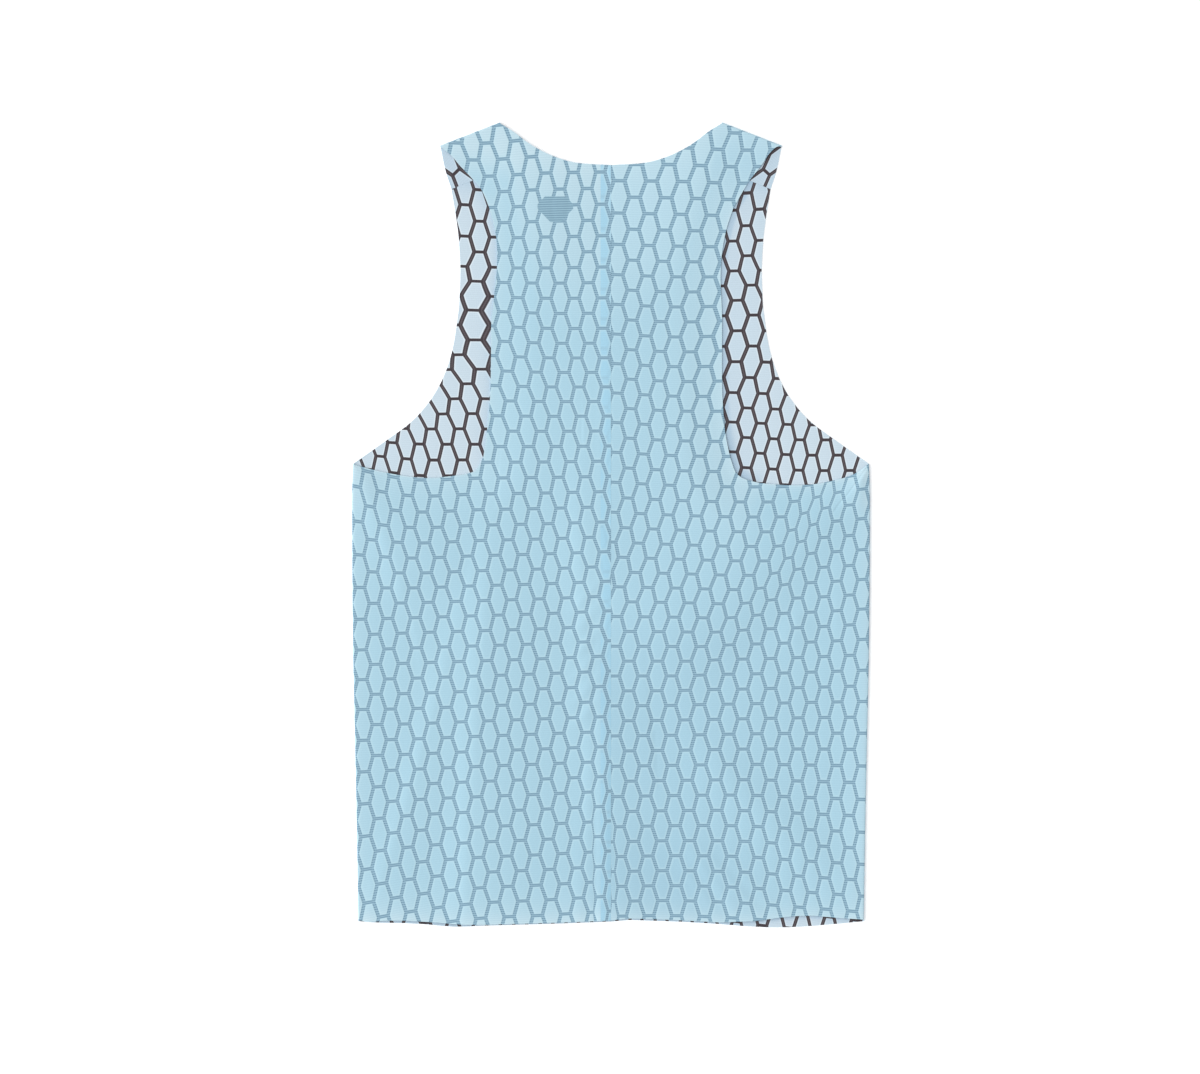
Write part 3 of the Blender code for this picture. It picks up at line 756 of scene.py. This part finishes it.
OUTER_GROUND = tone(174.5, 213, 230)
RIGHT_GROUND = tone(173.5, 212.5, 230)
# the pale tone: one layer's paler tone, and painted light
OUTER_PALE_AND_LIT = tone(200, 226, 237)
# painted shade: a darker, bluer ground
OUTER_PAINTED_SHADE = tone(165, 204, 223)
OUTER_GLOW = tone(196, 228, 238)
OUTER_NET_LIGHT = tone(155, 190, 208)
OUTER_NET_DARK = tone(104, 139, 163)
ALLOWANCE_GROUND = tone(167, 214, 237)
PATCH_LIGHT = tone(156, 193, 210)
PATCH_DARK = tone(120, 154, 175)
INNER_GROUND = tone(205, 223, 235)
INNER_GLOW = tone(226, 239, 247)
INNER_SHADE = tone(160, 190, 213)
INNER_NET_LIGHT = tone(104, 96, 100)
INNER_NET_DARK = tone(64, 57, 62)
CUT_EDGE = tone(208, 228, 240)

# Half widths of the strands, of the glow beside them and of the strands that show through the turned
# strip, at the bars and at the slanting strands, and over how much each one fades
OUTER_STRANDS = {"bar": 1.55, "slant": 1.65, "soft": 0.4}
OUTER_BESIDE = {"bar": 2.9, "slant": 2.9, "soft": 1.4}
INNER_STRANDS = {"bar": 1.4, "slant": 1.6, "soft": 0.4}
INNER_BESIDE = {"bar": 2.2, "slant": 2.4, "soft": 0.7}
BELOW_BAR, BELOW_SLANT, BELOW_SOFT = 1.5, 1.2, 1.0
TRACK = {"off": 0.95, "half": 0.45}         # the two tracks of dashes in a slanting strand
LINE = {"off": 0.75, "half": 0.35}          # the two lines in a bar
TRACK_SOFT = 0.5
PATCH_SOFT = 0.6
STRIP_SOFT = 0.4
CLOUDS_IN_A_METRE = 22.0
GRAINS_IN_A_METRE = 900.0
KNIT_RELIEF = {"ribs": 0.35, "wales": 0.12, "outer net": 0.6, "inner net": 0.5}
INNER_MIDDLE = {"slant": 0.4, "bar": 1.6, "soft": 0.6}      # the light line along a slanting strand

# How strongly each tone lies over the one below it
OUTER = {"ribs": 0.2, "cloud": 0.08, "glow": 0.35, "track": 0.45, "line": 0.87, "strip": 0.92,
         "net below": 0.35, "slants below": 0.5}
INNER = {"ribs": 0.05, "cloud": 0.04, "glow": 0.85, "middle": 0.7, "ribs on net": 0.15}
EDGE_GRAIN = 0.35


def strand_distances(column, row):
    """Millimetres from a point to the middle line of the nearest bar and nearest slanting strand."""
    cells = []
    for odd in (0, 1):
        off_column = (column - odd) / 2
        off_column = (off_column - round(off_column)) * 2
        off_row = row - 0.5 * (1 - odd)
        off_row = off_row - round(off_row)
        x, y = abs(off_column) * 1.5, abs(off_row) * math.sqrt(3)
        cells.append((x * HEX_HALF + y * 0.5, y))
    own = cells[0][0].most(cells[0][1]) < cells[1][0].most(cells[1][1])
    slant, level = (odd + own * (even - odd) for even, odd in zip(*cells))
    steepness = math.hypot(HEX_HALF * 1.5 / COLUMN_PITCH, 0.5 * math.sqrt(3) / ROW_PITCH)
    return (HEX_HALF - level) * (ROW_PITCH / math.sqrt(3)), (HEX_HALF - slant) / steepness


def within(distance, reach, soft):
    """1 within reach of a line and 0 past it, over a soft edge."""
    return ((reach - distance) / soft + 0.5).clamped()


def near_strands(to_bar, to_slant, width):
    """1 on the strands of the net, to some width from their middle lines."""
    near_bar = within(to_bar, width["bar"], width["soft"])
    return near_bar.most(within(to_slant, width["slant"], width["soft"]))


def net_numbers(paint, net="net"):
    return paint.axes(paint.node("ShaderNodeUVMap", {"uv_map": net}))[:2]


def knit_waves(column, row):
    """The courses of the knit, 1 on the dark ones and 0 between them, and its fine wales."""
    return (0.5 - (row * (2 * math.pi * RIBS_PER_ROW)).cosine() * 0.5,
            0.5 - (column * (2 * math.pi * WALES_PER_COLUMN)).cosine() * 0.5)


def outer_knit(name, plain=OUTER_GROUND, patch=False, allowance=False):
    """Light blue with a blue-grey net, whose slanting strands are two tracks of short dashes."""
    paint = Paint(name)
    column, row = net_numbers(paint)
    ribs, wales = knit_waves(column, row)
    to_bar, to_slant = strand_distances(column, row)
    on_strand = near_strands(to_bar, to_slant, OUTER_STRANDS)
    beside = near_strands(to_bar, to_slant, OUTER_BESIDE)
    tracks = within(abs(to_slant - TRACK["off"]), TRACK["half"], TRACK_SOFT)
    lines = within(abs(to_bar - LINE["off"]), LINE["half"], TRACK_SOFT)
    on_bar = within(to_bar, OUTER_STRANDS["bar"], OUTER_STRANDS["soft"])
    cloud = paint.noise(paint.place(), CLOUDS_IN_A_METRE)

    # the deep mark is painted shade: a darker, bluer ground right of the seam's foot
    ground = paint.blend(paint.mark("deep"), plain, OUTER_PAINTED_SHADE)
    # the pale mark lightens the ground: painted light, with the paler tone of one layer
    ground = paint.blend(paint.mark("pale"), ground, OUTER_PALE_AND_LIT)
    if allowance:
        x = paint.axes(paint.place())[0] / MM
        half = ALLOWANCE_WIDTH / 2
        strip = within(abs(x + half), half - STRIP_SOFT / 2, STRIP_SOFT)
        below_bar, below_slant = strand_distances(*net_numbers(paint, "net_below"))
        slants = within(below_slant, BELOW_SLANT, BELOW_SOFT) * OUTER["slants below"]
        shadow = within(below_bar, BELOW_BAR, BELOW_SOFT).most(slants)
        ground = paint.blend(strip * OUTER["strip"], ground, ALLOWANCE_GROUND)
        ground = paint.blend(strip * shadow * OUTER["net below"], ground, OUTER_NET_LIGHT)
    ground = paint.blend(ribs * OUTER["ribs"] + cloud * OUTER["cloud"], ground, OUTER_NET_LIGHT)
    ground = paint.blend(beside * OUTER["glow"], ground, OUTER_GLOW)
    dashes = ribs * (tracks * OUTER["track"] + (1 - OUTER["track"])) * (1 - on_bar)
    dashes = dashes.most(on_bar * lines * OUTER["line"])
    net = paint.blend(dashes, OUTER_NET_LIGHT, OUTER_NET_DARK)
    if patch:
        x, y = (axis / MM for axis in paint.axes(paint.place())[:2])
        x, y = abs(x - PATCH["across"]), y - PATCH["up"]
        on_patch = within(x + abs(y) * PATCH["slope"], PATCH["half width"], PATCH_SOFT)
        on_patch = on_patch * within(x, PATCH["cut"], PATCH_SOFT)
        on_patch = on_patch * within(y, PATCH["above"], PATCH_SOFT)
        on_patch = on_patch * within(0 - y, PATCH["below"], PATCH_SOFT)
        net = paint.blend(on_patch, net, paint.blend(ribs, PATCH_LIGHT, PATCH_DARK))
        on_strand = on_strand.most(on_patch)
    colour = paint.blend(on_strand, ground, net)
    height = (ribs * KNIT_RELIEF["ribs"] + wales * KNIT_RELIEF["wales"]
              - on_strand * KNIT_RELIEF["outer net"])
    return paint.finish(colour, height, roughness=0.8, sheen=0.12, depth=0.12)


def inner_knit(name):
    """Pale with a near-black net, whose strands are lighter along their middle line."""
    paint = Paint(name)
    column, row = net_numbers(paint)
    ribs, wales = knit_waves(column, row)
    to_bar, to_slant = strand_distances(column, row)
    on_strand = near_strands(to_bar, to_slant, INNER_STRANDS)
    beside = near_strands(to_bar, to_slant, INNER_BESIDE)
    cloud = paint.noise(paint.place(), CLOUDS_IN_A_METRE)
    speckle = ribs * INNER["ribs"] + cloud * INNER["cloud"]
    ground = paint.blend(speckle, INNER_GROUND, INNER_NET_LIGHT)
    ground = paint.blend(beside * INNER["glow"], ground, INNER_GLOW)
    ground = paint.blend(paint.mark("shade"), ground, INNER_SHADE)
    middle = (within(to_slant, INNER_MIDDLE["slant"], INNER_MIDDLE["soft"])
              * (1 - within(to_bar, INNER_MIDDLE["bar"], INNER_MIDDLE["soft"])))
    light = middle * INNER["middle"] + ribs * INNER["ribs on net"]
    net = paint.blend(light, INNER_NET_DARK, INNER_NET_LIGHT)
    colour = paint.blend(on_strand, ground, net)
    height = (ribs * KNIT_RELIEF["ribs"] + wales * KNIT_RELIEF["wales"]
              + on_strand * KNIT_RELIEF["inner net"])
    return paint.finish(colour, height, roughness=0.85, sheen=0.1, depth=0.12)


def cut_edge(name):
    """The edge of a cut: ends of yarn, paler than the cloth."""
    paint = Paint(name)
    grain = paint.noise(paint.place(), GRAINS_IN_A_METRE, detail=1.0)
    colour = paint.blend(grain * EDGE_GRAIN, CUT_EDGE, OUTER_GROUND)
    return paint.finish(colour, grain, roughness=0.9, sheen=0.0, depth=0.1)


# ---- Marks on the pieces ----

def fading(distance, share, reach):
    """A share at an edge that fades with the distance from it."""
    return share * np.exp(-distance / reach)


def at_place(places, start):
    """1 past both starts of a table, across and up, and 0 before either."""
    return rise(places[..., 1], *start["up"]) * rise(np.abs(places[..., 0]), *start["across"])


def paleness_and_painted_light(places, which):
    """How far the outer side is from its ground colour to its pale one. That is the tone of one layer
    in the yoke, and painted light there, near the edges, at the shoulder tips and along the armhole
    cuts.
    """
    across, up = np.abs(places[..., 0]), places[..., 1]
    neckline = curve_through(FRONT_NECK)
    above = up - np.interp(across, neckline[:, 0], neckline[:, 1])
    yoke = PALE_AND_LIT_YOKE[which] * rise(above, *YOKE)

    # painted light near the edges, at the shoulder tips and along the armhole's cut
    shares = PAINTED_LIGHT_AT_EDGES[which]
    share, reach = shares["armhole"]
    reach = between((reach, PAINTED_LIGHT_FOOT[which]), at_place(places, FOOT))
    armhole = fading(distance_to(places, armhole_below_top(which)), share, reach)
    side = fading(distance_to(places, SIDE), *shares["side"]) * (1 + rise(up, *PAINTED_LIGHT_SIDE_TOP))
    neck = fading(distance_to(places, BACK_NECK), *shares["neck"])
    hem = fading(up - up_at(BACK_HEM, places[..., 0]), *shares["hem"])
    tip = PAINTED_LIGHT_TIP[which]["share"] * at_place(places, PAINTED_LIGHT_TIP[which])
    # a painted highlight along the armhole's cut
    share, reach = PAINTED_RIM_HIGHLIGHT
    rim = share * np.exp(-(distance_to(places, armhole_edge(which)) / reach) ** 2)
    return np.maximum(yoke, armhole) + neck + side + hem + tip + rim


def depth(places):
    """How far the outer side is from its ground colour to its deep one, a painted shade,
    right of the seam's foot.
    """
    low = sum(step["share"] * rise(places[..., 1], *step["up"]) for step in SEAM_FOOT_SHADE["steps"])
    return low * np.exp(-((places[..., 0] - SEAM_FOOT_SHADE["across"]) / SEAM_FOOT_SHADE["reach"]) ** 2)


def edge_shade(places):
    """How far the front's inner side is in the bluish shade of the back's edges and of its seams."""
    across, up = places[..., 0], places[..., 1]
    left, right = (distance_to(places, armhole_edge(which)) for which in ("left", "right"))
    beside_left = (fading(left, SHADE_LEFT["share"], SHADE_LEFT["reach"])
                   * rise(up, *SHADE_LEFT["up"]))
    low = rise(up, *SHADE_FOOT["up"])
    share, band, soft = (between(SHADE_RIGHT[kind], low) for kind in ("share", "band", "soft"))
    beside_right = share * rise(right, band, -soft) + fading(right, *SHADE_RIGHT["wide"])
    beside_right = beside_right * (1 - at_place(places, SHADE_FOOT))
    seam = fading(distance_to(places, [FRONT_NECK[-1], LAP_ARMHOLE[0]]), *SHADE_SEAM)
    hem = fading(np.abs(up - up_at(BACK_HEM, across)), *SHADE_HEM)
    return np.where(across < 0, beside_left, beside_right) + seam + hem


# ---- Pieces ----

def side_from(hem):
    """The side edge from a hem's own end up to the armhole."""
    across = SIDE[0][0]
    return [(across, (up_at(hem, across) + up_at(hem, -across)) / 2), *SIDE[1:]]


def make_back(which, materials):
    side = -1 if which == "left" else 1
    seam = SEAM_GAP / 2
    inset = SHOULDER_OUT * FOLD_REACH
    stretches = [
        {"inner": [(seam, up_at(BACK_HEM, 0.0)), (seam, FAN[0])], "outer": side_from(BACK_HEM),
         "rows": 150, "turn": (1, 1), "turn_over": (0, 1), "bow": (1, 4)},
        {"inner": [(seam, FAN[0]), (seam, FAN[1])], "outer": ARMHOLE_LOW[which],
         "rows": 60, "turn": (1, 0), "turn_over": (0, 0.2), "bow": (4, 1.6)},
        {"inner": [(seam, FAN[1]), (seam, BACK_NECK[0][1])], "outer": ARMHOLE_MID[which],
         "rows": 120, "turn": (0, 0), "turn_over": (0, 1), "bow": (1.6, 1)},
        {"inner": [(seam, BACK_NECK[0][1])] + BACK_NECK[1:-1] + [tuple(NECK_POINT - inset)],
         "outer": ARMHOLE_TOP[which][:-1] + [tuple(TIP - inset)],
         "rows": 46, "turn": (0, 0), "turn_over": (0, 1), "bow": (1, 1)},
    ]
    seen, cloth, turned = half_grid(stretches, BACK_HEM, side, BACK_COLUMNS)
    flat = slice(0, BACK_COLUMNS + 1)
    level = back_level(seen[:, flat], which)
    level = np.concatenate([level, level[:, -1:] + 0 * turned[:, flat.stop:]], axis=1) - turned
    top_rows = len(seen)
    seen_lap, cloth_lap, level_lap = over_shoulder(seen, cloth, side)
    seen, cloth = np.vstack([seen, seen_lap]), np.vstack([cloth, cloth_lap])
    level = np.vstack([level, level_lap])

    numbers = back_net_at(cloth, which)
    over = np.clip((np.arange(len(cloth)) - top_rows + 1) / ROLL_STEPS, 0, 1)
    numbers = numbers + over[:, None, None] * SHOULDER_SLIP[which]
    puff = (CELL_PUFF + FOLD_PUFF * on_left_flank(cloth)) * (1 - over[:, None])
    level = level + puff * (1 - cell_reach(numbers) ** PUFF_POWER)

    turned_part = np.repeat(over[:, None], level.shape[1], axis=1)
    # the deep mark is painted shade
    # the pale mark is painted light, with the paler tone of one layer
    marks = {"pale": paleness_and_painted_light(cloth, which), "deep": depth(cloth), "shade": SHADE_LAP * turned_part}
    nets = {"net": numbers}
    if which == "left":
        nets["net_below"] = back_net_at(cloth, "right")
        # its places go from left to right as well, so that its faces look up
        seen, level = seen[:, ::-1], level[:, ::-1]
        nets, marks = ({name: values[:, ::-1] for name, values in kinds.items()}
                       for kinds in (nets, marks))
    return shell(f"back_{which}_cloth", seen, level, nets, marks, materials)


def make_front(materials):
    seam_shift = SHOULDER_OUT * (SEAM_GAP / 2)
    corner = FRONT_CORNER_TURN
    side_end = (0.0, SIDE[-1][1])
    stretches = [
        {"inner": [(0.0, up_at(FRONT_HEM, 0.0)), side_end], "outer": side_from(FRONT_HEM),
         "rows": 156, "turn": (1, corner), "turn_over": (6 / 7, 1), "bow": (1, 1)},
        {"inner": [side_end, FRONT_NECK[0]], "outer": FRONT_ARMHOLE_LOW,
         "rows": 72, "turn": (corner, 0), "turn_over": (0, 1 / 6), "bow": (1, 1)},
        {"inner": FRONT_NECK[:-1] + [tuple(np.array(FRONT_NECK[-1]) - seam_shift)],
         "outer": FRONT_ARMHOLE_TOP[:-1] + [tuple(np.array(FRONT_ARMHOLE_TOP[-1]) - seam_shift)],
         "rows": 72, "turn": (0, 0), "turn_over": (0, 1), "bow": (1, 1)},
    ]
    halves = [half_grid(stretches, FRONT_HEM, side, FRONT_COLUMNS) for side in (-1, 1)]
    seen, cloth, turned = (np.concatenate([left[:, ::-1], right], axis=1)
                           for left, right in zip(*halves))
    numbers = net_at(FRONT_NET, cloth)
    level = LOWER_LEVEL + turned + CELL_PUFF * (1 - cell_reach(numbers) ** PUFF_POWER)
    marks = {"shade": edge_shade(cloth)}
    return shell("front_cloth", seen, level, {"net": numbers}, marks, materials, halves=2)


def make_allowance(material):
    """The strip of the right half that runs on past the seam, under the left half."""
    low = up_at(BACK_HEM, 0.0) + ALLOWANCE_SHORT["hem"]
    high = BACK_NECK[0][1] - ALLOWANCE_SHORT["neck"]
    across = np.linspace(-ALLOWANCE_WIDTH, -ALLOWANCE_SHORT["seam"], ALLOWANCE_POINTS[0])
    up = np.linspace(low, high, ALLOWANCE_POINTS[1])
    places = np.stack(np.meshgrid(across, up), axis=-1)
    level = back_level(places, "left") - (WALL + ALLOWANCE_WALL) / 2 - ALLOWANCE_GAP
    level = np.maximum(level, ALLOWANCE_WALL / 2 + ALLOWANCE_GAP)
    nets = {"net": back_net_at(places, "right")}
    return shell("seam_allowance", places, level, nets, {}, (material,) * 3, ALLOWANCE_WALL)


outer = outer_knit("outer side of the knit", plain=RIGHT_GROUND)
outer_left = outer_knit("outer side of the left half", patch=True, allowance=True)
inner = inner_knit("inner side of the knit")
edge = cut_edge("cut edge of the knit")

back_left = make_back("left", (outer_left, inner, edge))
back_right = make_back("right", (outer, inner, edge))
front = make_front((inner, outer, edge))
allowance = make_allowance(outer)

for piece, slot in ((back_left, "outer_side"), (back_right, "outer_side"), (front, "inner_side"),
                    (allowance, "outer_side")):
    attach(piece, "root")
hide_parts("back_left")
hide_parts("back_right")
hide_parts("front_panel")


# ---- Floor, light and camera ----

def plain_floor():
    bpy.ops.mesh.primitive_plane_add(size=6.0, location=(0, 0, 0))
    floor = bpy.context.object
    floor.name = "floor"
    paint = Paint("pale studio floor")
    shader = paint.node("ShaderNodeBsdfPrincipled", None, {
        "Base Color": tone(252, 252, 253), "Roughness": 0.9, "Specular IOR Level": 0.1,
        "Emission Color": (1.0, 1.0, 1.0, 1.0), "Emission Strength": 0.2})
    floor.data.materials.append(paint.done(shader))
    floor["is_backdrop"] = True


def soft_light(sky, key, above, softness):
    """A white room, and one large soft light from the left, some degrees above the floor."""
    world = bpy.data.worlds.new("white room")
    bpy.context.scene.world = world
    world.use_nodes = True
    world.node_tree.nodes["Background"].inputs["Color"].default_value = (1, 1, 1, 1)
    world.node_tree.nodes["Background"].inputs["Strength"].default_value = sky
    lamp = bpy.data.lights.new("large soft light", "SUN")
    lamp.energy = key
    lamp.angle = math.radians(softness)
    light = bpy.data.objects.new("large soft light", lamp)
    bpy.context.scene.collection.objects.link(light)
    light.rotation_euler = (0, -math.radians(90 - above), 0)


def overhead_camera():
    """Straight above, 3.5 m up, its picture 1200 pixels wide with 0.9 mm of the garment to each."""
    picture_width = 1200 * 0.9 * MM
    centre = (-9.9 * MM, -10.8 * MM)
    height = 3.5
    lens = bpy.data.cameras.new("camera")
    lens.sensor_width = 36.0
    lens.lens = lens.sensor_width * (height - UPPER_LEVEL * MM) / picture_width
    camera = bpy.data.objects.new("camera", lens)
    camera.location = (*centre, height)
    bpy.context.scene.collection.objects.link(camera)
    bpy.context.scene.camera = camera


plain_floor()
soft_light(sky=0.563, key=2.61, above=34, softness=75)
overhead_camera()
bpy.context.scene.view_settings.view_transform = "Standard"

({"cad": [list(corner) for corner in cad_box],
           "visual": [list(corner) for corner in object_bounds()]})
